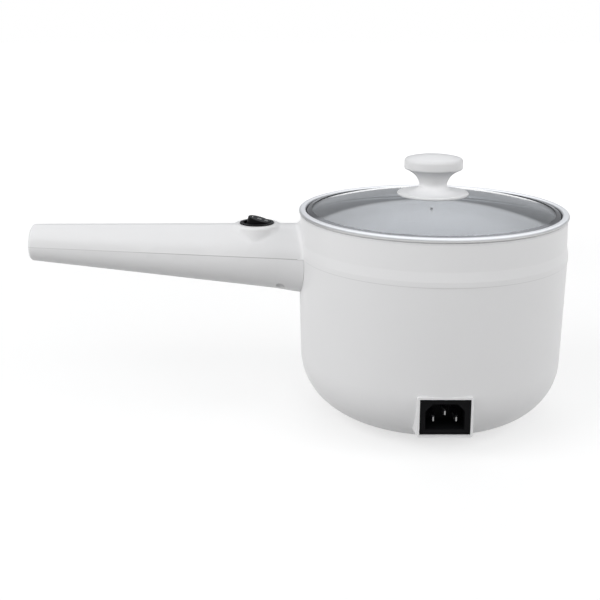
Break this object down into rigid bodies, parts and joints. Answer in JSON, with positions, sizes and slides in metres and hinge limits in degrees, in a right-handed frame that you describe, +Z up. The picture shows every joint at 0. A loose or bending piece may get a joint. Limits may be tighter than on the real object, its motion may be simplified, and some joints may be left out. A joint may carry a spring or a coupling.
{
  "type": "electric hot pot with lid",
  "caption": "Round electric hot pot with a steel inner pot, a lift-off domed glass lid with a knob, a long hollow side handle with a rocker switch, and a rear-plug mains inlet.",
  "frame": {"origin": "on the pot's axis, at the table the feet stand on", "axes": "+Z up along the pot's axis; the handle runs along -X; the mains inlet faces -Y"},
  "size_m": [0.3574, 0.178, 0.1752],
  "materials": {
    "housing": "white moulded plastic, satin gloss",
    "base_plastic": "white moulded plastic, fine texture",
    "black_plastic": "black moulded plastic",
    "rocker_plastic": "black moulded plastic, polished",
    "pot_steel": "pressed stainless steel",
    "rim_steel": "polished stainless steel",
    "plate_aluminium": "cast, unpolished",
    "fastener": "zinc plated steel",
    "contact_brass": "plain brass",
    "ceramic": "unglazed ceramic",
    "seal": "grey silicone rubber",
    "foot_rubber": "dark rubber",
    "lead_sleeve": "insulating sleeve",
    "lead_brown": "silicone lead insulation",
    "lead_blue": "silicone lead insulation",
    "lead_green": "silicone lead insulation",
    "lead_white": "silicone lead insulation",
    "lid_glass": "clear tempered glass"
  },
  "bodies": {
    "pot": {"lower_housing": "housing", "upper_shell": "housing", "handle_cover": "housing", "handle_screws": "fastener", "base_cover": "base_plastic", "base_feet": "foot_rubber", "base_screws": "fastener", "plate_standoffs": "fastener", "inner_pot": "pot_steel", "rim_gasket": "seal", "heating_plate": "plate_aluminium", "element_tube": "plate_aluminium", "element_pins": "fastener", "thermostat_body": "ceramic", "thermostat_cap": "plate_aluminium", "thermostat_tabs": "contact_brass", "thermostat_screws": "fastener", "thermostat_receptacles": "lead_sleeve", "thermal_fuse": "ceramic", "fuse_clip": "fastener", "fuse_rivets": "plate_aluminium", "earth_lug": "contact_brass", "earth_screw": "fastener", "inlet_socket": "black_plastic", "inlet_pins": "contact_brass", "inlet_receptacles": "lead_sleeve", "switch_frame": "black_plastic", "switch_terminals": "contact_brass", "switch_receptacles": "lead_sleeve", "wire_live": "lead_brown", "wire_high": "lead_white", "wire_low": "lead_white", "wire_neutral": "lead_blue", "wire_earth": "lead_green", "wire_link": "lead_white", "wire_fuse": "lead_white", "diode_sleeve": "lead_sleeve"},
    "lid": {"lid_glass": "lid_glass", "lid_rim": "rim_steel", "knob": "housing", "knob_insert": "contact_brass", "knob_pad": "seal", "knob_washer": "rim_steel", "knob_screw": "rim_steel"},
    "rocker": {"switch_rocker": "rocker_plastic"}
  },
  "joints": [
    {"name": "lid_lift", "type": "slide", "parent": "pot", "child": "lid", "axis": [0, 0, 1], "range_m": [0, 0.1]},
    {"name": "switch_rock", "type": "hinge", "parent": "pot", "child": "rocker", "pos_m": [-0.1166, 0, 0.1261], "axis": [0, -1, 0], "range_deg": [0, 32]}
  ]
}
